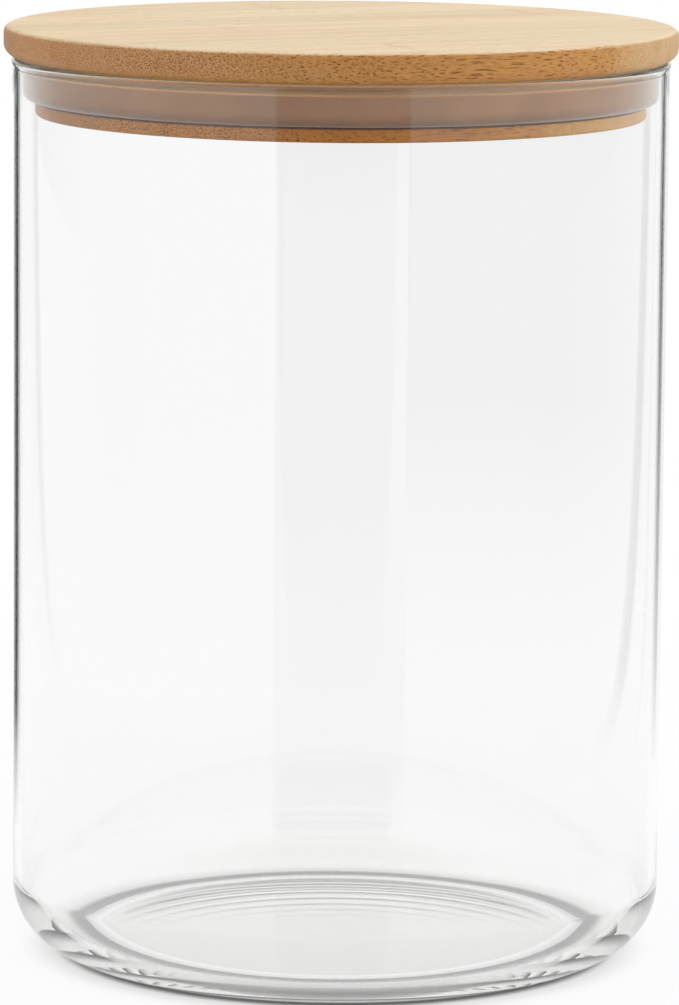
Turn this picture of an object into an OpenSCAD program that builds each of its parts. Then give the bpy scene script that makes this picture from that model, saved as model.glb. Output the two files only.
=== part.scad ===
// Lidded glass canister: a straight-sided jar of clear glass, a bamboo lid that
// pushes into its mouth, and a silicone ring that seals the lid to the glass.
// The origin is the centre of the ring that the jar stands on, with +Z up.

/* [Jar] */
// Outside diameter of the jar's straight wall
jar_d = 150; // [90:1:220]
// Height of the jar, from the table to the top of its rim
jar_h = 206.8; // [90:0.1:320]
// Thickness of the side wall
wall_t = 2; // [1.5:0.1:4]
// Thickness of the base just inside its heel
base_t = 3.6; // [3:0.1:8]
// Outside radius of the heel, where the wall turns into the base
heel_r = 16; // [8:0.5:24]
// Width of the flat ring that the jar stands on
foot_w = 4; // [2:0.5:10]
// Height of the shallow dome in the underside of the base
push_up = 1.8; // [0.5:0.1:2.5]
// Height of the slight crown of the inside floor
floor_crown = 1; // [0.2:0.1:2]

/* [Rim] */
// How much thicker the fire-polished bead of the rim is than the wall
bead_swell = 0.3; // [0.1:0.1:1]
// Radius of the soft blend from the bead back to the outside of the wall
bead_blend_r = 3; // [1:0.5:8]

/* [Lid board] */
// Thickness of the top board
board_t = 7; // [7:0.5:16]
// How far the board stands out past the outside of the wall
board_overhang = 2; // [1.5:0.5:8]
// Radius on the board's upper edge
board_top_r = 1.6; // [0.5:0.1:3]
// Radius on the board's lower edge
board_low_r = 3; // [0.5:0.1:3.5]

/* [Lid plug] */
// Depth of the plug under the board
plug_h = 13.1; // [12:0.1:30]
// Thickness of the flange that carries the seal
flange_t = 3.5; // [2.5:0.1:4]
// Depth of the seal's groove, from the flange's edge in to the neck
groove_t = 3; // [2:0.1:6]
// Radius on the flange's lower edge
flange_low_r = 0.8; // [0.3:0.1:1.5]
// Radius on the flange's upper edge
flange_top_r = 0.3; // [0.1:0.1:0.8]

/* [Seal] */
// Radius on the ring's lower outside edge, which leads it into the mouth
seal_low_r = 2.4; // [0.5:0.1:3]
// Radius on the ring's upper outside edge
seal_top_r = 1; // [0.3:0.1:1.5]

/* [Fits] */
// Gap between the rim and the board that covers it
rim_gap = 0.2; // [0.1:0.1:1]
// Radial gap between the flange and the inside of the wall
plug_gap = 3.2; // [1:0.1:6]
// Radial gap between the seated ring and the inside of the wall
seal_gap = 0.3; // [0.2:0.1:0.8]
// Radial gap between the ring and the neck that it is stretched over
neck_gap = 0.1; // [0.05:0.05:0.3]
// Height left open in the groove between the ring and the board
seal_head_gap = 2; // [0.5:0.1:3]

/* [Hidden] */

// Facets of a turned piece, and of the wide flat circles that crown the base
turn_fn = 256;
dome_fn = 512;
$fn = turn_fn;

jar_r = jar_d / 2;
bore_r = jar_r - wall_t;
corner_r = heel_r - wall_t;
bead_r = (wall_t + bead_swell) / 2;
bead_x = bore_r + bead_r;
bead_z = jar_h - bead_r;
board_z = jar_h + rim_gap;
plug_z = board_z - plug_h;
flange_r = bore_r - plug_gap;
neck_r = flange_r - groove_t;
seal_z = plug_z + flange_t;
seal_h = plug_h - flange_t - seal_head_gap;
seal_r = bore_r - seal_gap;
seal_in_r = neck_r + neck_gap;

// Half section of a disc, with one radius on its lower edge and another on its upper
module disc_section(r, h, low_r, top_r) {
    square([r - low_r, h - top_r]);
    translate([0, low_r]) square([r - top_r, h - low_r]);
    translate([0, low_r]) square([r, h - low_r - top_r]);
    translate([r - low_r, low_r]) circle(low_r);
    translate([r - top_r, h - top_r]) circle(top_r);
}

// Half section of a shallow dome that stands on the table's plane
module dome_section(r, rise) {
    dome_r = (r * r + rise * rise) / (2 * rise);
    intersection() {
        translate([0, rise - dome_r]) circle(dome_r, $fn = dome_fn);
        square([r, rise]);
    }
}

// Half section of the jar's outside, up to the middle of the bead
module jar_outside() {
    square([jar_r - heel_r, bead_z]);
    translate([0, heel_r]) square([jar_r, bead_z - heel_r]);
    translate([jar_r - heel_r, heel_r]) circle(heel_r);
}

// Half section of the space inside, with its round corner and slightly crowned floor
module jar_inside() {
    floor_r = bore_r - corner_r;
    difference() {
        union() {
            translate([0, base_t]) square([floor_r, jar_h]);
            translate([0, base_t + corner_r]) square([bore_r, jar_h]);
            translate([floor_r, base_t + corner_r]) circle(corner_r);
        }
        translate([0, base_t]) dome_section(floor_r, floor_crown);
    }
}

// Section of the rim: a bead flush with the bore, blended into the wall's outside
module rim_section() {
    reach = bead_r + bead_blend_r;
    reach_x = jar_r + bead_blend_r - bead_x;
    drop = sqrt(reach * reach - reach_x * reach_x);
    blend_h = drop * bead_blend_r / reach;
    translate([bead_x, bead_z]) circle(bead_r);
    difference() {
        translate([bead_x, bead_z - drop]) square([reach_x, blend_h]);
        translate([jar_r + bead_blend_r, bead_z - drop]) circle(bead_blend_r);
    }
}

module glass_jar() {
    color([0.86, 0.93, 0.91, 0.4])
        rotate_extrude() {
            difference() {
                jar_outside();
                jar_inside();
                dome_section(jar_r - heel_r - foot_w, push_up);
            }
            rim_section();
        }
}

module lid_board() {
    color([0.82, 0.66, 0.46])
        translate([0, 0, board_z])
            rotate_extrude()
                disc_section(jar_r + board_overhang, board_t, board_low_r, board_top_r);
}

module lid_plug() {
    color([0.74, 0.56, 0.36])
        translate([0, 0, plug_z])
            rotate_extrude() {
                disc_section(flange_r, flange_t, flange_low_r, flange_top_r);
                square([neck_r, plug_h]);
            }
}

module silicone_seal() {
    color([0.88, 0.86, 0.83, 0.8])
        translate([0, 0, seal_z])
            rotate_extrude()
                difference() {
                    disc_section(seal_r, seal_h, seal_low_r, seal_top_r);
                    square([seal_in_r, seal_h]);
                }
}

glass_jar();
lid_board();
lid_plug();
silicone_seal();
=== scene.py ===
import math

import bpy
from mathutils import Matrix, Vector


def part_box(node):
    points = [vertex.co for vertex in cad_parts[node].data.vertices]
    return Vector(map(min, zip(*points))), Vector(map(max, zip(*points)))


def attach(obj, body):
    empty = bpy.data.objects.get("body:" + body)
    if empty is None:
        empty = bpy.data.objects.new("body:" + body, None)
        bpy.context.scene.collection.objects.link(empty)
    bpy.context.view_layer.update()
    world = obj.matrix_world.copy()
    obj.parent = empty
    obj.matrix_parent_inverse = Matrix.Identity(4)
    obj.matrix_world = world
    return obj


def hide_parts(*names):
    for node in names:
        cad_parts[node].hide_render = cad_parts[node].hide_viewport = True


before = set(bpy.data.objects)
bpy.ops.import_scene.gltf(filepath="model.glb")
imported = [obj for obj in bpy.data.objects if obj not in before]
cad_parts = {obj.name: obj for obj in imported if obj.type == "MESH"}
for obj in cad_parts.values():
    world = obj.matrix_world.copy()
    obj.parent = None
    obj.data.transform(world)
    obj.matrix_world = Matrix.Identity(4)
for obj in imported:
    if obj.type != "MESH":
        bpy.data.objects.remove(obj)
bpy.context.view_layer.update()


# ---------------------------------------------------------------- Glass jar
# A straight-sided jar of clear glass, blown in a turning mould, so its section is the same all
# round. The rim is fire-polished to a bead, the heel is a large soft round, and the base is
# pushed up a little, so that the jar stands on a narrow ring.

MM = 0.001
JAR_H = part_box("glass_jar")[1].z
JAR_R = 75 * MM
WALL_T = 2 * MM
BASE_T = 3.6 * MM
HEEL_R = 16 * MM
FOOT_W = 4 * MM
PUSH_UP = 1.8 * MM
FLOOR_CROWN = 1 * MM
BEAD_SWELL = 0.3 * MM
BEAD_BLEND_R = 3 * MM

# How finely each part of the section is drawn, and the steps that it is turned in
DOME_STEPS = 20
HEEL_STEPS = 28
CORNER_STEPS = 24
BLEND_STEPS = 6
BEAD_STEPS = 26
WALL_ROWS = 16
TURN_STEPS = 320

GLASS_COLOUR = (0.975, 0.98, 0.975, 1)
GLASS_IOR = 1.5
GLASS_SHADOW = (0.98, 0.985, 0.98, 1)
GLASS_TINT = (0.84, 0.86, 0.82, 1)
GLASS_TINT_DENSITY = 8.0
WAVES_PER_M = 60
WAVE_STRETCH = 0.25
WAVE_HEIGHT = 0.2 * MM
WAVE_STRENGTH = 0.03


def arc(centre, radius, start, end, steps):
    """Points along a round, from the start angle to the end angle in degrees."""
    turns = [math.radians(start + (end - start) * i / steps) for i in range(steps + 1)]
    return [(centre[0] + radius * math.cos(a), centre[1] + radius * math.sin(a)) for a in turns]


def dome(reach, rise, foot_z):
    """Points along a shallow dome, from its crown on the axis out to its foot."""
    dome_r = (reach * reach + rise * rise) / (2 * rise)
    spread = math.degrees(math.asin(reach / dome_r))
    return arc((0, foot_z + rise - dome_r), dome_r, 90, 90 - spread, DOME_STEPS)


def jar_section():
    """The glass's outline, from the middle of the underside round the rim to the inside floor."""
    bore_r = JAR_R - WALL_T
    corner_r = HEEL_R - WALL_T
    corner_z = BASE_T + corner_r
    bead_r = (WALL_T + BEAD_SWELL) / 2
    bead = (bore_r + bead_r, JAR_H - bead_r)
    blend_x = JAR_R + BEAD_BLEND_R
    lean = math.degrees(math.acos((blend_x - bead[0]) / (bead_r + BEAD_BLEND_R)))
    blend_z = bead[1] - (bead_r + BEAD_BLEND_R) * math.sin(math.radians(lean))

    def wall(radius, start, end):
        """Rows of points up or down a straight wall, without its two ends."""
        return [(radius, start + (end - start) * i / WALL_ROWS) for i in range(1, WALL_ROWS)]

    outside = dome(JAR_R - HEEL_R - FOOT_W, PUSH_UP, 0)
    outside += arc((JAR_R - HEEL_R, HEEL_R), HEEL_R, -90, 0, HEEL_STEPS)
    outside += wall(JAR_R, HEEL_R, blend_z)
    outside += arc((blend_x, blend_z), BEAD_BLEND_R, 180, 180 - lean, BLEND_STEPS)
    outside += arc(bead, bead_r, -lean, 180, BEAD_STEPS)[1:]
    inside = wall(bore_r, bead[1], corner_z)
    inside += arc((bore_r - corner_r, corner_z), corner_r, 0, -90, CORNER_STEPS)
    inside += dome(bore_r - corner_r, FLOOR_CROWN, BASE_T)[::-1][1:]
    return outside + inside


def turning_tree():
    """Sweeps a section, given as a curve, round the vertical axis into a closed turned shell."""
    tree = bpy.data.node_groups.new("turn_round_the_axis", "GeometryNodeTree")
    for name, kind in [("Geometry", "Geometry"), ("Sweep radius", "Float"), ("Turn steps", "Int"),
                       ("Weld distance", "Float"), ("Material", "Material")]:
        tree.interface.new_socket(name, in_out="INPUT", socket_type="NodeSocket" + kind)
    tree.interface.new_socket("Geometry", in_out="OUTPUT", socket_type="NodeSocketGeometry")
    n, link = tree.nodes, tree.links.new
    given, made = n.new("NodeGroupInput"), n.new("NodeGroupOutput")
    ring = n.new("GeometryNodeCurvePrimitiveCircle")
    sweep = n.new("GeometryNodeCurveToMesh")
    weld = n.new("GeometryNodeMergeByDistance")
    outward = n.new("GeometryNodeFlipFaces")
    smooth = n.new("GeometryNodeSetShadeSmooth")
    real = n.new("GeometryNodeRealizeInstances")
    paint = n.new("GeometryNodeSetMaterial")
    link(given.outputs["Turn steps"], ring.inputs["Resolution"])
    link(given.outputs["Sweep radius"], ring.inputs["Radius"])
    link(ring.outputs["Curve"], sweep.inputs["Curve"])
    link(given.outputs["Geometry"], sweep.inputs["Profile Curve"])
    link(sweep.outputs["Mesh"], weld.inputs["Geometry"])
    link(given.outputs["Weld distance"], weld.inputs["Distance"])
    link(weld.outputs["Geometry"], outward.inputs["Mesh"])
    link(outward.outputs["Mesh"], smooth.inputs["Geometry"])
    link(smooth.outputs["Geometry"], real.inputs["Geometry"])
    link(real.outputs["Geometry"], paint.inputs["Geometry"])
    link(given.outputs["Material"], paint.inputs["Material"])
    link(paint.outputs["Geometry"], made.inputs["Geometry"])
    return tree


def set_inputs(modifier, values):
    """Sets a Geometry Nodes modifier's inputs, which go by identifier, from their names."""
    for item in modifier.node_group.interface.items_tree:
        if item.item_type == "SOCKET" and item.in_out == "INPUT" and item.name in values:
            modifier[item.identifier] = values[item.name]


def plain_mesh(source, name):
    """The evaluated object as a plain mesh object, with the source and its modifiers removed."""
    graph = bpy.context.evaluated_depsgraph_get()
    mesh = bpy.data.meshes.new_from_object(source.evaluated_get(graph))
    bpy.data.objects.remove(source)
    mesh.name = name
    made = bpy.data.objects.new(name, mesh)
    bpy.context.scene.collection.objects.link(made)
    return made


def turned(name, section, material, turn_steps):
    """A piece turned from its half section, a list of (radius, height) points."""
    sweep_radius = 50 * MM
    curve = bpy.data.curves.new(name + "_section", "CURVE")
    curve.dimensions = "3D"
    line = curve.splines.new("POLY")
    line.points.add(len(section) - 1)
    for point, (radius, height) in zip(line.points, section):
        point.co = (radius - sweep_radius, -height, 0, 1)
    source = bpy.data.objects.new(name + "_section", curve)
    bpy.context.scene.collection.objects.link(source)
    modifier = source.modifiers.new("turn", "NODES")
    modifier.node_group = turning_tree()
    set_inputs(modifier, {
        "Sweep radius": sweep_radius,
        "Turn steps": turn_steps,
        "Weld distance": 0.002 * MM,
        "Material": material,
    })
    return plain_mesh(source, name)


def new_material(name):
    """A material with its nodes, its link function and its Principled shader."""
    material = bpy.data.materials.new(name)
    material.use_nodes = True
    tree = material.node_tree
    return material, tree.nodes, tree.links.new, tree.nodes["Principled BSDF"]


def glass():
    """Clear glass with the faint waviness of a blown wall and a slight tint in its depth."""
    material, n, link, shader = new_material("blown_glass")
    shader.inputs["Base Color"].default_value = GLASS_COLOUR
    shader.inputs["Transmission Weight"].default_value = 1
    shader.inputs["Roughness"].default_value = 0
    shader.inputs["IOR"].default_value = GLASS_IOR
    where = n.new("ShaderNodeTexCoord")
    stretch = n.new("ShaderNodeMapping")
    stretch.inputs["Scale"].default_value = (1, 1, WAVE_STRETCH)
    wave = n.new("ShaderNodeTexNoise")
    wave.inputs["Scale"].default_value = WAVES_PER_M
    wave.inputs["Detail"].default_value = 1
    bump = n.new("ShaderNodeBump")
    bump.inputs["Strength"].default_value = WAVE_STRENGTH
    bump.inputs["Distance"].default_value = WAVE_HEIGHT
    link(where.outputs["Object"], stretch.inputs["Vector"])
    link(stretch.outputs["Vector"], wave.inputs["Vector"])
    link(wave.outputs["Fac"], bump.inputs["Height"])
    link(bump.outputs["Normal"], shader.inputs["Normal"])

    # The lamps shine through the wall, so the jar casts a pale shadow and lights its lid.
    let_light_in = n.new("ShaderNodeBsdfTransparent")
    let_light_in.inputs["Color"].default_value = GLASS_SHADOW
    rays = n.new("ShaderNodeLightPath")
    mix = n.new("ShaderNodeMixShader")
    out = n["Material Output"]
    link(rays.outputs["Is Shadow Ray"], mix.inputs["Fac"])
    link(shader.outputs["BSDF"], mix.inputs[1])
    link(let_light_in.outputs["BSDF"], mix.inputs[2])
    link(mix.outputs["Shader"], out.inputs["Surface"])
    tint = n.new("ShaderNodeVolumeAbsorption")
    tint.inputs["Color"].default_value = GLASS_TINT
    tint.inputs["Density"].default_value = GLASS_TINT_DENSITY
    link(tint.outputs["Volume"], out.inputs["Volume"])
    return material


jar = turned("jar_glass", jar_section(), glass(), TURN_STEPS)
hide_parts("glass_jar")
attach(jar, "jar")


# ---------------------------------------------------------------- Lid board
# The top of the lid is a round of edge-glued bamboo strips, turned on its rim and sanded. Its
# fibres run along the strips: they show as dark dots where the rim cuts across them, and as
# long streaks where it runs along them.

STRIP_W = 19 * MM
BOARD_STRIP_TURN = 27
BOARD_STRIP_SHIFT = 8 * MM
BOARD_STRIP_SEED = 155.0
# Where along the strips the edge turns paler: painted light on the end towards the stronger lamp at the
# right
BOARD_PAINTED_LIGHT_END = (25 * MM, 45 * MM)
BOARD_TONES = {
    "side grain": (181, 131, 74),
    "end grain": (186, 139, 94),
    "painted light end": (190, 163, 122),
    "fibre": (112, 70, 32),
    "face": (227, 206, 172),
}

# The fibres: how far apart and how evenly they lie, their radii as shares of that distance, how
# soft their edges are, how far they sway, and how much of them shows in each case
FIBRE_PITCH = 0.58 * MM
FIBRE_SCATTER = 0.75
FIBRE_RADII = (0.24, 0.36)
FIBRE_SOFTNESS = 0.12
FIBRE_SWAY = 3.2 * MM
FIBRE_STRIP_JUMP = 7.3
SHOWN_OF_EACH_FIBRE = (0.50, 1.00)
SHOWN_IN_EACH_STRIP = (0.55, 1.10)
SHOWN_AT_PAINTED_LIGHT_END = 0.20
SHOWN_ON_FACE = 0.28

# Each kind of mark in the grain: its size along, across and up the strip, how far it jumps from
# one strip to the next, and how many finer layers it has
FIBRE_WANDER = (16 * MM, 9 * MM, 9 * MM, 2.9, 1)
FIBRE_PATCHES = (55 * MM, 14 * MM, 14 * MM, 4.7, 1)
STREAK_BREAKS = (2.5 * MM, 0.8 * MM, 0.5 * MM, 5.3, 0)
HAIRLINES = (45 * MM, 0.7 * MM, 0.7 * MM, 11.7, 3)
CLOUDS = (70 * MM, 5 * MM, 5 * MM, 3.1, 2)
SPECKLES = (1.6 * MM, 0.35 * MM, 0.35 * MM, 1.3, 1)

# The strength of the noise at which each mark begins and at which it is full
PATCH_RISE = (0.05, 0.38)
BREAK_RISE = (0.42, 0.58)
HAIRLINE_RISE = (0.45, 0.75)
CLOUD_RISE = (0.42, 0.72)
SPECKLE_RISE = (0.46, 0.62)

# A joint of the cane: how far from the middle it may lie, how it wanders, and where it fades
CANE_JOINT_REACH = 170 * MM
CANE_JOINT_BEND = 6 * MM
CANE_JOINT_FADE = (0.6 * MM, 2.6 * MM)

# How much of a darker tone each mark brings, and the speckles on the edge and on the faces
CLOUD_SHARE = 0.60
HAIRLINE_SHARE = 0.45
CANE_JOINT_SHARE = 0.55
SPECKLE_SHARES = (0.45, 0.05)

# How squarely a surface meets the fibres where it begins to be end grain and where it is, and
# how level it lies where it begins to be a face and where it is, looking up and looking down
END_GRAIN_RISE = (0.35, 0.9)
UPPER_FACE_RISE = (0.55, 0.95)
LOWER_FACE_RISE = (0.97, 0.999)
# How much of the paler tone of painted light that end takes
PAINTED_LIGHT_END_SHARE = 0.7

# Where the bamboo above an edge is painted paler, as painted light where it lies in shade: how soon
# that tone is full, and how the line of painted shadow along the edge fades and how strong it is
GROOVE_PAINT_RISE = 0.4 * MM
PAINTED_SHADOW_LINE_FADE = (0.40 * MM, 0.75 * MM)
PAINTED_SHADOW_LINE_SHARE = 0.92

# Colours that the bamboo's own colour is multiplied by
DARKEST_STRIP = (0.93, 0.925, 0.91, 1)
PALEST_STRIP = (1.05, 1.045, 1.04, 1)
GRAIN_SHADE = (0.90, 0.80, 0.66, 1)
SPECKLE_SHADE = (0.72, 0.62, 0.48, 1)

BAMBOO_ROUGHNESS = (0.44, 0.62)
BAMBOO_GLOSS = 0.25
BAMBOO_RELIEF = 0.06 * MM
BAMBOO_RELIEF_STRENGTH = 0.4
HAIRLINE_RELIEF = 0.6


def linear(red, green, blue):
    """A colour given from 0 to 255 as it looks on a screen, for a shader's socket."""
    def one(value):
        """One of its three parts, from the screen's curve to the shader's straight scale."""
        value /= 255
        return value / 12.92 if value <= 0.04045 else ((value + 0.055) / 1.055) ** 2.4
    return (one(red), one(green), one(blue), 1)


def shader_kit(n, link):
    """Short ways to add the nodes that a material does its sums and mixes its colours with."""
    def plug_in(socket, value):
        """Sets a socket to a plain value, or links another node's output to it."""
        if isinstance(value, (int, float, tuple)):
            socket.default_value = value
        else:
            link(value, socket)

    def maths(operation, a, b=0.0):
        """One sum on one or two numbers."""
        made = n.new("ShaderNodeMath")
        made.operation = operation
        plug_in(made.inputs[0], a)
        plug_in(made.inputs[1], b)
        return made.outputs[0]

    def blend(share, a, b, mode="MIX"):
        """Colour a with this share of colour b mixed in, or multiplied in with mode MULTIPLY."""
        made = n.new("ShaderNodeMix")
        made.data_type = "RGBA"
        made.blend_type = mode
        for socket, value in zip((made.inputs[0], made.inputs[6], made.inputs[7]), (share, a, b)):
            plug_in(socket, value)
        return made.outputs[2]

    def step(value, low, high):
        """0 below low and 1 above high, with a smooth rise between them."""
        made = n.new("ShaderNodeMapRange")
        made.interpolation_type = "SMOOTHSTEP"
        plug_in(made.inputs["Value"], value)
        plug_in(made.inputs["From Min"], low)
        plug_in(made.inputs["From Max"], high)
        return made.outputs["Result"]

    def fade(value, low, high):
        """1 below low and 0 above high, with a smooth fall between them."""
        return maths("SUBTRACT", 1.0, step(value, low, high))

    def between(low, high, share):
        """A number that goes from low to high as the share goes from 0 to 1."""
        return maths("ADD", low, maths("MULTIPLY", share, high - low))

    return maths, blend, step, fade, between


def bamboo(name, strip_turn, strip_shift, strip_seed, tones, painted_light_from_to, groove_painted_lighter_above=None):
    """Bamboo strips side by side, with painted light at one end, and, above an edge if given, painted
    light with a line of painted shadow along the edge.
    """
    tones = {part: linear(*tone) for part, tone in tones.items()}
    material, n, link, shader = new_material(name)
    maths, blend, step, fade, between = shader_kit(n, link)

    def split(kind, value):
        """The three numbers of a vector (XYZ) or of a colour (Color)."""
        made = n.new("ShaderNodeSeparate" + kind)
        link(value, made.inputs[0])
        return made.outputs

    # Where a point lies along, across and up its strip, and three chances of the strip's own.
    where = n.new("ShaderNodeTexCoord")
    turn = n.new("ShaderNodeMapping")
    turn.inputs["Rotation"].default_value = (0, 0, -math.radians(strip_turn))
    link(where.outputs["Object"], turn.inputs["Vector"])
    along, across, height = split("XYZ", turn.outputs["Vector"])
    strip = maths("FLOOR", maths("DIVIDE", maths("ADD", across, strip_shift), STRIP_W))
    chance = n.new("ShaderNodeTexWhiteNoise")
    chance.noise_dimensions = "1D"
    link(maths("ADD", strip, strip_seed), chance.inputs["W"])
    strip_fibres, strip_tint, strip_joint = split("Color", chance.outputs["Color"])

    def strip_space(u, v, w, strip_jump):
        """A place in a texture that jumps from one strip to the next."""
        made = n.new("ShaderNodeCombineXYZ")
        jump = maths("MULTIPLY", strip, strip_jump)
        for socket, value in zip(made.inputs, (u, v, w)):
            link(maths("ADD", value, jump), socket)
        return made.outputs["Vector"]

    def grain(length, width, thickness, strip_jump, detail):
        """Noise with marks of this size along, across and up the strip."""
        made = n.new("ShaderNodeTexNoise")
        made.inputs["Scale"].default_value = 1
        made.inputs["Detail"].default_value = detail
        place = strip_space(maths("DIVIDE", along, length), maths("DIVIDE", across, width),
                            maths("DIVIDE", height, thickness), strip_jump)
        link(place, made.inputs["Vector"])
        return made

    # How squarely the surface cuts the fibres, how nearly it lies flat, and where its edge is painted
    # paler as painted light.
    fibre_angle = math.radians(strip_turn)
    facing = n.new("ShaderNodeVectorMath")
    facing.operation = "DOT_PRODUCT"
    facing.inputs[1].default_value = (math.cos(fibre_angle), math.sin(fibre_angle), 0)
    link(where.outputs["Normal"], facing.inputs[0])
    cut = step(maths("ABSOLUTE", facing.outputs["Value"]), *END_GRAIN_RISE)
    upright = split("XYZ", where.outputs["Normal"])["Z"]
    face_up = step(upright, *UPPER_FACE_RISE)
    face_down = step(maths("MULTIPLY", upright, -1.0), *LOWER_FACE_RISE)
    flat = maths("MAXIMUM", face_up, face_down)
    pale = step(along, *painted_light_from_to)

    # The fibres are dots in the plane across the strip, which sway a little on their way along
    # it. They come in patches, break up into short streaks on the sides and fade on the faces.
    sway = grain(*FIBRE_WANDER)
    sway_across, sway_up, _ = split("Color", sway.outputs["Color"])
    swayed_across = maths("ADD", across, maths("MULTIPLY", sway_across, FIBRE_SWAY))
    swayed_up = maths("ADD", height, maths("MULTIPLY", sway_up, FIBRE_SWAY))
    fibres = n.new("ShaderNodeTexVoronoi")
    fibres.voronoi_dimensions = "2D"
    fibres.inputs["Scale"].default_value = 1
    fibres.inputs["Randomness"].default_value = FIBRE_SCATTER
    fibre_place = strip_space(maths("DIVIDE", swayed_across, FIBRE_PITCH),
                              maths("DIVIDE", swayed_up, FIBRE_PITCH), 0.0, FIBRE_STRIP_JUMP)
    link(fibre_place, fibres.inputs["Vector"])
    dot_size, dot_strength, _ = split("Color", fibres.outputs["Color"])
    inside = maths("SUBTRACT", between(*FIBRE_RADII, dot_size), fibres.outputs["Distance"])
    dots = step(inside, -FIBRE_SOFTNESS, FIBRE_SOFTNESS)
    in_patch = step(grain(*FIBRE_PATCHES).outputs["Fac"], *PATCH_RISE)
    unbroken = maths("MAXIMUM", cut, step(grain(*STREAK_BREAKS).outputs["Fac"], *BREAK_RISE))
    for share in (between(*SHOWN_OF_EACH_FIBRE, dot_strength), between(*SHOWN_IN_EACH_STRIP, strip_fibres),
                  in_patch, unbroken, between(1.0, SHOWN_AT_PAINTED_LIGHT_END, pale),
                  between(1.0, SHOWN_ON_FACE, flat)):
        dots = maths("MULTIPLY", dots, share)

    # A joint of the cane crosses some strips as a narrow band of darker, tangled grain.
    joint_place = between(-CANE_JOINT_REACH, CANE_JOINT_REACH, strip_joint)
    bent = maths("ADD", along, maths("MULTIPLY", sway.outputs["Fac"], CANE_JOINT_BEND))
    joint = fade(maths("ABSOLUTE", maths("SUBTRACT", bent, joint_place)), *CANE_JOINT_FADE)

    # The bare colour of the turned edge and the faces, with a tint of each strip's own. The faces,
    # up and down, are paler partly from sanding and partly as painted light.
    edge = blend(cut, tones["side grain"], tones["end grain"])
    # The end towards the stronger lamp is painted paler, as painted light.
    edge = blend(maths("MULTIPLY", pale, PAINTED_LIGHT_END_SHARE), edge, tones["painted light end"])
    colour = blend(flat, edge, tones["face"])
    tint = blend(strip_tint, DARKEST_STRIP, PALEST_STRIP)
    colour = blend(1.0, colour, tint, "MULTIPLY")

    # Slow clouds of tone, fine hairlines, joints and speckles darken it, and the fibres come last.
    hair = grain(*HAIRLINES)
    darker = blend(1.0, colour, GRAIN_SHADE, "MULTIPLY")
    clouded = step(grain(*CLOUDS).outputs["Fac"], *CLOUD_RISE)
    hairlined = step(hair.outputs["Fac"], *HAIRLINE_RISE)
    for mark, share in ((clouded, CLOUD_SHARE), (hairlined, HAIRLINE_SHARE), (joint, CANE_JOINT_SHARE)):
        colour = blend(maths("MULTIPLY", mark, share), colour, darker)
    speckled = step(grain(*SPECKLES).outputs["Fac"], *SPECKLE_RISE)
    speckled = maths("MULTIPLY", speckled, between(*SPECKLE_SHARES, flat))
    colour = blend(speckled, colour, blend(1.0, colour, SPECKLE_SHADE, "MULTIPLY"))
    colour = blend(dots, colour, tones["fibre"])

    # Above the edge the bamboo is painted paler as painted light, and a line of painted shadow runs along
    # the edge.
    if groove_painted_lighter_above is not None:
        groove_painted_lighter = step(height, groove_painted_lighter_above, groove_painted_lighter_above + GROOVE_PAINT_RISE)
        colour = blend(groove_painted_lighter, colour, tones["groove_painted_lighter"])
        from_edge = maths("ABSOLUTE", maths("SUBTRACT", height, groove_painted_lighter_above))
        painted_shadow_line = maths("MULTIPLY", fade(from_edge, *PAINTED_SHADOW_LINE_FADE), PAINTED_SHADOW_LINE_SHARE)
        colour = blend(painted_shadow_line, colour, tones["painted_shadow_line"])

    link(colour, shader.inputs["Base Color"])
    link(between(*BAMBOO_ROUGHNESS, hair.outputs["Fac"]), shader.inputs["Roughness"])
    shader.inputs["Specular IOR Level"].default_value = BAMBOO_GLOSS
    relief = n.new("ShaderNodeBump")
    relief.inputs["Strength"].default_value = BAMBOO_RELIEF_STRENGTH
    relief.inputs["Distance"].default_value = BAMBOO_RELIEF
    raised = maths("MULTIPLY", hair.outputs["Fac"], HAIRLINE_RELIEF)
    link(maths("SUBTRACT", raised, dots), relief.inputs["Height"])
    link(relief.outputs["Normal"], shader.inputs["Normal"])
    return material


def dress(node_name, material):
    """Gives a piece that keeps its CAD mesh its one material."""
    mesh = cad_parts[node_name].data
    mesh.materials.clear()
    mesh.materials.append(material)


dress("lid_board", bamboo("board_bamboo", BOARD_STRIP_TURN, BOARD_STRIP_SHIFT, BOARD_STRIP_SEED,
                          BOARD_TONES, BOARD_PAINTED_LIGHT_END))


# ---------------------------------------------------------------- Lid plug
# A second bamboo disc is glued under the board. A groove turned in its side leaves a flange at
# the bottom that holds the seal. A line of painted shadow runs along the flange's upper edge
# under the seal, and the plug above the flange is painted paler as painted light in the shaded
# gap under the board. It isn't oiled, and it is a little darker than the board.

FLANGE_T = 3.5 * MM
FLANGE_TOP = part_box("lid_plug")[0].z + FLANGE_T
PLUG_STRIP_TURN = 24
PLUG_STRIP_SHIFT = -1.7 * MM
PLUG_STRIP_SEED = 555.0
# Where along the strips the edge turns paler: painted light on the end towards the stronger lamp at the
# right
PLUG_PAINTED_LIGHT_END = (-5 * MM, 40 * MM)
PLUG_TONES = {
    "side grain": (192, 122, 34),
    "end grain": (197, 130, 44),
    "painted light end": (218, 176, 108),
    "fibre": (96, 50, 10),
    "face": (212, 180, 134),
    "groove_painted_lighter": (226, 190, 134),
    "painted_shadow_line": (62, 30, 12),
}

dress("lid_plug", bamboo("plug_bamboo", PLUG_STRIP_TURN, PLUG_STRIP_SHIFT, PLUG_STRIP_SEED,
                         PLUG_TONES, PLUG_PAINTED_LIGHT_END, FLANGE_TOP))


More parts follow.
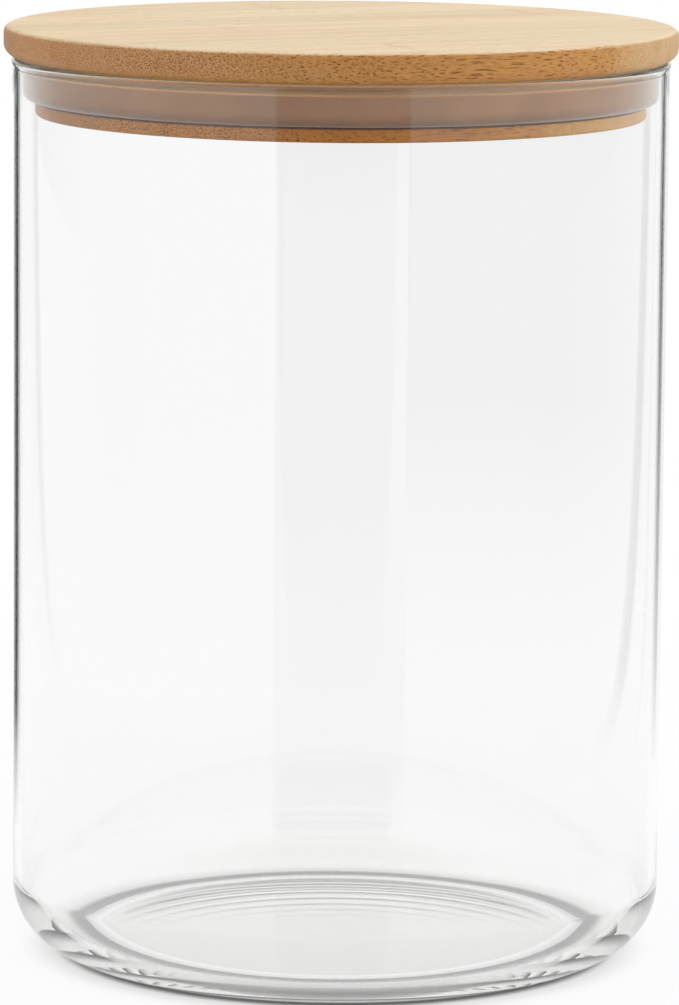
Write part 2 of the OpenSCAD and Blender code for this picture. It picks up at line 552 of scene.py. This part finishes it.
# ---------------------------------------------------------------- Silicone seal
# The seal is one moulded ring of milky silicone, stretched over the plug's neck. It is soft and
# lets some light into it, and its colour is painted the warm grey-brown that the bamboo behind
# gives it. Painted shade darkens its lower edge, and painted light makes its upper edge paler.
# Its skin has a faint sheen.

SEAL_LOW, SEAL_TOP = [corner.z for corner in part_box("silicone_seal")]
SEAL_TONE = linear(175, 135, 104)
SEAL_FLOW_TONE = linear(167, 127, 96)
SEAL_PAINTED_LIGHT_TONE = linear(228, 178, 124)
SEAL_LOW_PAINTED_SHADE = (0.58, 0.55, 0.51, 1)
PAINTED_SHADE_LOW_EDGE = (SEAL_LOW + 0.2 * MM, SEAL_LOW + 3.4 * MM)
PAINTED_LIGHT_TOP_EDGE = (SEAL_TOP - 1.0 * MM, SEAL_TOP - 0.2 * MM)
DUST_TONE = linear(120, 92, 70)
DUST_PER_M = 70
DUST_FADE = (0.02, 0.05)
DUST_SHARE = 0.5
FLOW_MARKS_PER_M = 45
FLOW_MARK_RISE = (0.35, 0.65)
SILICONE_IOR = 1.41
SILICONE_ROUGHNESS = (0.30, 0.42)
SILICONE_GLOSS = 0.25
SILICONE_SHEEN = 0.6
SHEEN_ROUGHNESS = 0.4
LIGHT_DEPTH = 4 * MM
LIGHT_DEPTH_BY_COLOUR = (1.0, 0.7, 0.5)
SKIN_RELIEF = 0.2 * MM
SKIN_RELIEF_STRENGTH = 0.15


def silicone():
    """Milky silicone with a satin skin, faint flow marks, a few specks of dust, painted shade at its lower
    edge and painted light at its upper one.
    """
    material, n, link, shader = new_material("milky_silicone")
    maths, blend, step, fade, between = shader_kit(n, link)
    where = n.new("ShaderNodeTexCoord")
    flow = n.new("ShaderNodeTexNoise")
    flow.inputs["Scale"].default_value = FLOW_MARKS_PER_M
    flow.inputs["Detail"].default_value = 2
    link(where.outputs["Object"], flow.inputs["Vector"])
    dust = n.new("ShaderNodeTexVoronoi")
    dust.inputs["Scale"].default_value = DUST_PER_M
    link(where.outputs["Object"], dust.inputs["Vector"])
    place = n.new("ShaderNodeSeparateXYZ")
    link(where.outputs["Object"], place.inputs["Vector"])

    specks = fade(dust.outputs["Distance"], *DUST_FADE)
    colour = blend(step(flow.outputs["Fac"], *FLOW_MARK_RISE), SEAL_FLOW_TONE, SEAL_TONE)
    colour = blend(maths("MULTIPLY", specks, DUST_SHARE), colour, DUST_TONE)
    # Painted shade darkens the lower edge and painted light makes the upper edge paler.
    shaded = blend(1.0, colour, SEAL_LOW_PAINTED_SHADE, "MULTIPLY")
    colour = blend(fade(place.outputs["Z"], *PAINTED_SHADE_LOW_EDGE), colour, shaded)
    colour = blend(step(place.outputs["Z"], *PAINTED_LIGHT_TOP_EDGE), colour, SEAL_PAINTED_LIGHT_TONE)
    link(colour, shader.inputs["Base Color"])
    link(between(*SILICONE_ROUGHNESS, flow.outputs["Fac"]), shader.inputs["Roughness"])
    shader.inputs["Subsurface Weight"].default_value = 1.0
    shader.inputs["Subsurface Radius"].default_value = LIGHT_DEPTH_BY_COLOUR
    shader.inputs["Subsurface Scale"].default_value = LIGHT_DEPTH
    shader.inputs["IOR"].default_value = SILICONE_IOR
    shader.inputs["Specular IOR Level"].default_value = SILICONE_GLOSS
    shader.inputs["Sheen Weight"].default_value = SILICONE_SHEEN
    shader.inputs["Sheen Roughness"].default_value = SHEEN_ROUGHNESS
    skin = n.new("ShaderNodeBump")
    skin.inputs["Strength"].default_value = SKIN_RELIEF_STRENGTH
    skin.inputs["Distance"].default_value = SKIN_RELIEF
    link(flow.outputs["Fac"], skin.inputs["Height"])
    link(skin.outputs["Normal"], shader.inputs["Normal"])
    return material


dress("silicone_seal", silicone())


# ---------------------------------------------------------------- Floor and background
# A plain pale floor runs far past the jar and makes the white background. It takes a share of
# its light from itself, so that it stays white far away and still keeps the jar's shadow. A
# narrow ring close under the heel is painted darker, as a painted shadow.

FLOOR_HALF = 40.0
FLOOR_GREY = (0.86, 0.86, 0.86, 1)

# The share of the floor's light that is its own, first under the jar and then as it changes with
# the distance from the jar's axis: where each change starts and ends, and how much it adds
OWN_LIGHT = 0.60
OWN_LIGHT_CHANGES = [(52 * MM, 60 * MM, -0.20), (62 * MM, 74 * MM, 0.50), (90 * MM, 500 * MM, 0.10)]

# The ring of painted shadow under the heel: how it starts and ends with that distance, and how dark it is
HEEL_PAINTED_SHADOW_STARTS = (55.5 * MM, 59.0 * MM)
HEEL_PAINTED_SHADOW_ENDS = (62.2 * MM, 66.2 * MM)
HEEL_PAINTED_SHADOW = 0.80


def sheet(name, corners, material):
    """A flat sheet of the set, which isn't part of the canister."""
    mesh = bpy.data.meshes.new(name)
    mesh.from_pydata(corners, [], [tuple(range(len(corners)))])
    mesh.materials.append(material)
    made = bpy.data.objects.new(name, mesh)
    bpy.context.scene.collection.objects.link(made)
    return made


def seen_directly_or_in_glass(n, link):
    """1 for a ray that comes from the camera, from a reflection or through glass."""
    rays = n.new("ShaderNodeLightPath")
    seen = rays.outputs["Is Camera Ray"]
    for name in ("Is Glossy Ray", "Is Transmission Ray"):
        either = n.new("ShaderNodeMath")
        either.operation = "MAXIMUM"
        link(seen, either.inputs[0])
        link(rays.outputs[name], either.inputs[1])
        seen = either.outputs[0]
    return seen


def floor_paint():
    """Matt white that gives off light of its own, less of it close to the jar, with a ring of painted
    shadow under the heel.
    """
    material, n, link, shader = new_material("white_floor")
    n.remove(shader)
    maths, blend, step, fade, between = shader_kit(n, link)
    where = n.new("ShaderNodeTexCoord")
    reach = n.new("ShaderNodeVectorMath")
    reach.operation = "LENGTH"
    link(where.outputs["Object"], reach.inputs[0])
    from_axis = reach.outputs["Value"]

    share = OWN_LIGHT
    for start, end, change in OWN_LIGHT_CHANGES:
        share = maths("ADD", share, maths("MULTIPLY", step(from_axis, start, end), change))
    share = maths("MULTIPLY", share, seen_directly_or_in_glass(n, link))
    # A ring of painted shadow under the heel darkens both the matt white and the floor's own light.
    painted_heel_shadow = maths("MULTIPLY", step(from_axis, *HEEL_PAINTED_SHADOW_STARTS), fade(from_axis, *HEEL_PAINTED_SHADOW_ENDS))
    left_after_painted_shadow = between(1.0, 1.0 - HEEL_PAINTED_SHADOW, painted_heel_shadow)

    matt = n.new("ShaderNodeBsdfDiffuse")
    white = n.new("ShaderNodeEmission")
    mix = n.new("ShaderNodeMixShader")
    link(blend(1.0, FLOOR_GREY, left_after_painted_shadow, "MULTIPLY"), matt.inputs["Color"])
    link(left_after_painted_shadow, white.inputs["Strength"])
    link(share, mix.inputs["Fac"])
    link(matt.outputs["BSDF"], mix.inputs[1])
    link(white.outputs["Emission"], mix.inputs[2])
    link(mix.outputs["Shader"], n["Material Output"].inputs["Surface"])
    return material


sheet("floor", [(-FLOOR_HALF, -FLOOR_HALF, 0), (FLOOR_HALF, -FLOOR_HALF, 0),
                (FLOOR_HALF, FLOOR_HALF, 0), (-FLOOR_HALF, FLOOR_HALF, 0)], floor_paint())


# ---------------------------------------------------------------- Cards round the set
# Dark, grey and pale cards draw the edges of the glass and grade its white. Most of them show in
# reflections alone. The two wide sheets behind the jar show only straight through the glass, and
# they lie a little lower than the strips, so that a ray meets the strips first.

CARD_LIFT = 0.5 * MM
SHEET_LIFT = 0.2 * MM
SHEET_NEAR = 0.3
CARD_FAR = 38.0
LEFT_STRIP_START = 65 * MM
RIGHT_STRIP_START = 91 * MM


def card(name, corners, axis, shades, mirrored=True):
    """A card whose shade follows its place along one axis, from a list of (place, shade).

    A mirrored card shows in reflections alone, and any other straight through the glass alone.
    """
    material, n, link, shader = new_material(name)
    n.remove(shader)
    where = n.new("ShaderNodeTexCoord")
    place = n.new("ShaderNodeSeparateXYZ")
    link(where.outputs["Object"], place.inputs["Vector"])
    first, last = shades[0][0], shades[-1][0]
    scale = n.new("ShaderNodeMapRange")
    scale.inputs["From Min"].default_value = first
    scale.inputs["From Max"].default_value = last
    link(place.outputs[axis], scale.inputs["Value"])
    ramp = n.new("ShaderNodeValToRGB")
    steps = ramp.color_ramp.elements
    while len(steps) < len(shades):
        steps.new(0.5)
    for element, (distance, shade) in zip(steps, shades):
        element.position = (distance - first) / (last - first)
        element.color = (shade, shade, shade, 1)
    link(scale.outputs["Result"], ramp.inputs["Fac"])
    paint = n.new("ShaderNodeEmission")
    link(ramp.outputs["Color"], paint.inputs["Color"])
    unseen = n.new("ShaderNodeBsdfTransparent")
    rays = n.new("ShaderNodeLightPath")
    shown = n.new("ShaderNodeMath")
    shown.operation = "GREATER_THAN" if mirrored else "LESS_THAN"
    shown.inputs[1].default_value = 0.5
    mix = n.new("ShaderNodeMixShader")
    link(rays.outputs["Glossy Depth"], shown.inputs[0])
    link(shown.outputs[0], mix.inputs["Fac"])
    link(unseen.outputs["BSDF"], mix.inputs[1])
    link(paint.outputs["Emission"], mix.inputs[2])
    link(mix.outputs["Shader"], n["Material Output"].inputs["Surface"])
    made = sheet(name, corners, material)
    made.visible_camera = False
    made.visible_diffuse = False
    made.visible_shadow = False


def edge_strip(name, side, start, inner, outer, shades):
    """A strip on the table that fans out behind the jar, between two angles in degrees.

    Its edges start beside the jar's axis, on the left (side -1) or on the right (side 1).
    """
    near = shades[0][0]

    def corner(distance, angle):
        """One corner, this far behind the jar's axis."""
        across = start + distance * math.tan(math.radians(angle))
        return (side * across, distance, CARD_LIFT)
    card(name, [corner(near, inner), corner(near, outer),
                corner(CARD_FAR, outer), corner(CARD_FAR, inner)], "Y", shades)


def sheet_behind(name, left_edge, right_edge, shade):
    """A wide sheet on the table behind the jar. Each edge is given by its near and far X."""
    corners = [(left_edge[0], SHEET_NEAR, SHEET_LIFT), (right_edge[0], SHEET_NEAR, SHEET_LIFT),
               (right_edge[1], CARD_FAR, SHEET_LIFT), (left_edge[1], CARD_FAR, SHEET_LIFT)]
    card(name, corners, "Y", [(SHEET_NEAR, 1.00), (0.9, shade), (6, shade)], mirrored=False)


edge_strip("left_dark_strip", -1, LEFT_STRIP_START, 15, 25,
           [(0.12, 0.90), (0.15, 0.75), (0.21, 0.45), (0.27, 0.04), (0.35, 0.01), (6, 0.01)])
edge_strip("right_pale_strip", 1, RIGHT_STRIP_START, 5, 18,
           [(0.15, 1.00), (0.60, 0.86), (6, 0.84)])
edge_strip("right_dark_strip", 1, RIGHT_STRIP_START, 18, 21.5,
           [(0.20, 0.90), (0.35, 0.45), (0.50, 0.20), (0.75, 0.02), (6, 0.01)])
edge_strip("right_grey_strip", 1, RIGHT_STRIP_START, 21.5, 24.5,
           [(0.20, 0.98), (0.40, 0.75), (0.75, 0.45), (1.30, 0.05), (6, 0.01)])
sheet_behind("grey_sheet_behind", left_edge=(0.0207, 0.5888), right_edge=(0.30, 18), shade=0.905)
sheet_behind("pale_sheet_behind", left_edge=(-0.30, -18), right_edge=(-0.0180, -0.417), shade=0.985)

LEFT_X = -1.5
LEFT_DEPTH = 1.7
LEFT_TOP = 2.2
card("pale_sheet_at_the_left",
     [(LEFT_X, 0, 0), (LEFT_X, LEFT_DEPTH, 0), (LEFT_X, LEFT_DEPTH, LEFT_TOP), (LEFT_X, 0, LEFT_TOP)],
     "Y", [(0, 1.00), (0.5, 0.84), (1.1, 0.80), (LEFT_DEPTH, 1.00)])

# A dark sheet hangs behind the camera, so that the middle of the jar reflects less than its sides,
# and a grey one on the table runs from under it to just in front of the jar.
BACK_Y = -1.46
BACK_LEFT, BACK_RIGHT = -0.58, 0.64
BACK_TOP = 1.2
FRONT_Y = -0.12
FRONT_HALF = 0.033
card("dark_sheet_behind_the_camera",
     [(BACK_LEFT, BACK_Y, 0), (BACK_RIGHT, BACK_Y, 0),
      (BACK_RIGHT, BACK_Y, BACK_TOP), (BACK_LEFT, BACK_Y, BACK_TOP)],
     "Z", [(0, 0.50), (0.02, 0.50), (0.07, 0.08), (BACK_TOP, 0.08)])
card("grey_sheet_on_the_table",
     [(BACK_LEFT, BACK_Y, CARD_LIFT), (BACK_RIGHT, BACK_Y, CARD_LIFT),
      (FRONT_HALF, FRONT_Y, CARD_LIFT), (-FRONT_HALF, FRONT_Y, CARD_LIFT)],
     "Y", [(BACK_Y, 0.50), (-0.50, 0.50), (FRONT_Y, 1.00)])


# ---------------------------------------------------------------- Lights
# Two tall soft boxes stand at the left and right, a large one hangs overhead, and a low one
# stands in front. The glass reflects the white set and its cards, and not the boxes.

SKY_ON_OBJECTS = 0.45
SKY_SEEN = 1.0


def soft_box(name, place, aim, width, height, watts):
    """A rectangular lamp that lights the canister and shows nowhere in the picture."""
    lamp = bpy.data.lights.new(name, "AREA")
    lamp.shape = "RECTANGLE"
    lamp.size = width
    lamp.size_y = height
    lamp.energy = watts
    made = bpy.data.objects.new(name, lamp)
    bpy.context.scene.collection.objects.link(made)
    made.location = place
    made.rotation_euler = (Vector(aim) - Vector(place)).to_track_quat("-Z", "Y").to_euler()
    made.visible_camera = False
    made.visible_glossy = False
    made.visible_transmission = False


soft_box("left_box", place=(-1.30, -0.45, 0.55), aim=(0, 0, 0.45), width=0.9, height=1.1, watts=6.2)
soft_box("right_box", place=(1.35, -0.15, 0.45), aim=(0, 0, 0.25), width=0.9, height=1.1, watts=11.5)
soft_box("top_box", place=(0, 0.1, 1.5), aim=(0, 0, 0), width=1.4, height=1.4, watts=9.6)
soft_box("front_box", place=(0.55, -1.65, 0.12), aim=(0, 0, 0.2), width=0.9, height=0.5, watts=6.0)

world = bpy.data.worlds.new("studio")
bpy.context.scene.world = world
world.use_nodes = True
world_nodes, world_link = world.node_tree.nodes, world.node_tree.links.new
sky = world_nodes["Background"]
sky.inputs["Color"].default_value = (1, 1, 1, 1)
level = world_nodes.new("ShaderNodeMapRange")
level.inputs["To Min"].default_value = SKY_ON_OBJECTS
level.inputs["To Max"].default_value = SKY_SEEN
world_link(seen_directly_or_in_glass(world_nodes, world_link), level.inputs["Value"])
world_link(level.outputs["Result"], sky.inputs["Strength"])


# ---------------------------------------------------------------- Camera
# A long lens about 1.4 m in front of the canister, looking slightly down at it, so that the
# lid's upper face shows as a thin oval. Places are in metres and turns in degrees.

LENS_MM = 219.85
FILM_MM = 36
CAMERA_PLACE = (0, -1.40024, 0.32445)
LOOK_ASIDE = -0.017
LOOK_DOWN = 8.955
ROLL = 0.452
SIGHT_LIMIT = 200

lens = bpy.data.cameras.new("camera")
lens.lens = LENS_MM
lens.sensor_width = FILM_MM
lens.clip_end = SIGHT_LIMIT
camera = bpy.data.objects.new("camera", lens)
bpy.context.scene.collection.objects.link(camera)
camera.location = CAMERA_PLACE
aim = (Matrix.Rotation(math.radians(LOOK_ASIDE), 4, "Z")
       @ Matrix.Rotation(math.radians(90 - LOOK_DOWN), 4, "X")
       @ Matrix.Rotation(math.radians(ROLL), 4, "Z"))
camera.rotation_euler = aim.to_euler()
bpy.context.scene.camera = camera

bpy.context.scene.view_settings.view_transform = "Standard"

# Light that is caught in the glass bounces many times before it comes out again, and with fewer
# bounces the rim and the heel turn black.
GLASS_BOUNCES = 160
paths = bpy.context.scene.cycles
paths.max_bounces = GLASS_BOUNCES
paths.glossy_bounces = GLASS_BOUNCES
paths.transmission_bounces = GLASS_BOUNCES
